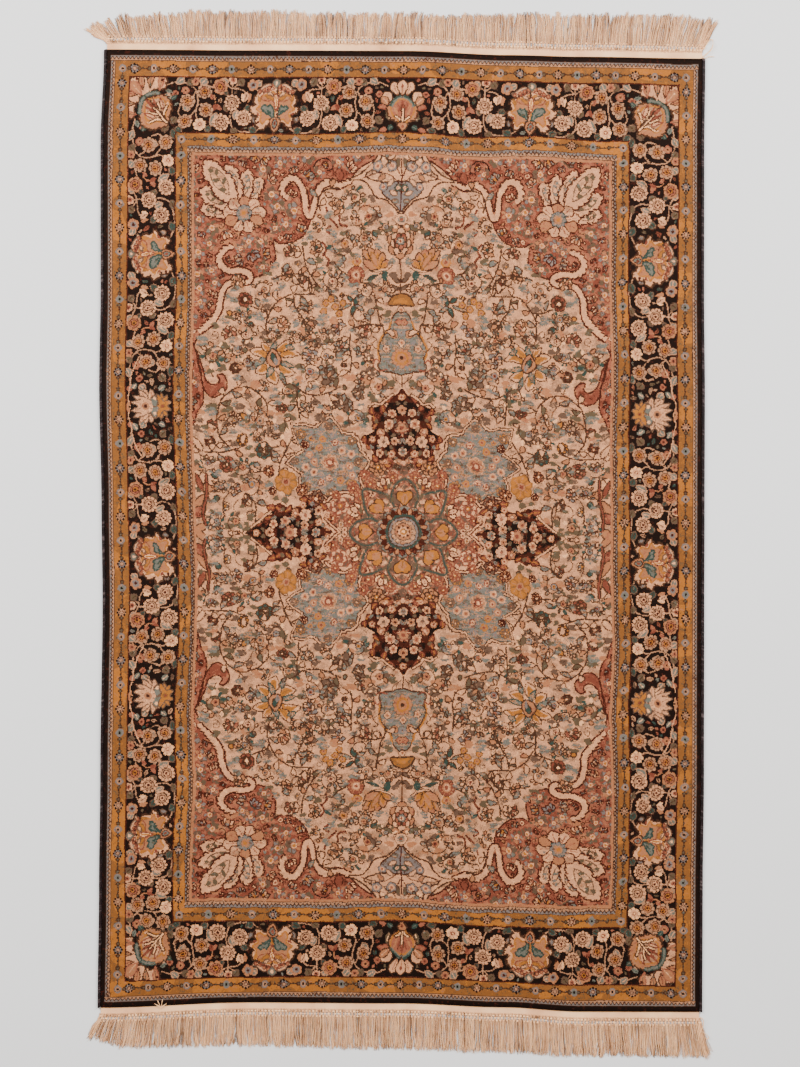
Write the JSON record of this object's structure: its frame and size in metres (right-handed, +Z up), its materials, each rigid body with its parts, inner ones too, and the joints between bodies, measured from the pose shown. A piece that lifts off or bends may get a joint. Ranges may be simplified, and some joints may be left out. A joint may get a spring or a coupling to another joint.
{
  "type": "silk rug",
  "caption": "Flat hand-knotted silk rug with a floral medallion design, overcast side cords, flat-woven ends and fringe.",
  "frame": {"origin": "middle of the rug's underside, on the floor it lies on", "axes": "+X across the rug, +Y along it towards the shorter fringe, +Z up out of the pile"},
  "size_m": [0.9532, 1.5965, 0.0046],
  "materials": {
    "silk_pile": "short cut silk pile, knotted in a floral medallion pattern",
    "overcast_silk": "dark maroon silk yarn wound round a cord",
    "undyed_silk": "undyed cream silk, flat-woven and left as fringe"
  },
  "bodies": {
    "root": {"knotted_body": "silk_pile", "side_cord_left": "overcast_silk", "side_cord_right": "overcast_silk", "fringed_end_top": "undyed_silk", "fringed_end_bottom": "undyed_silk"}
  },
  "joints": []
}
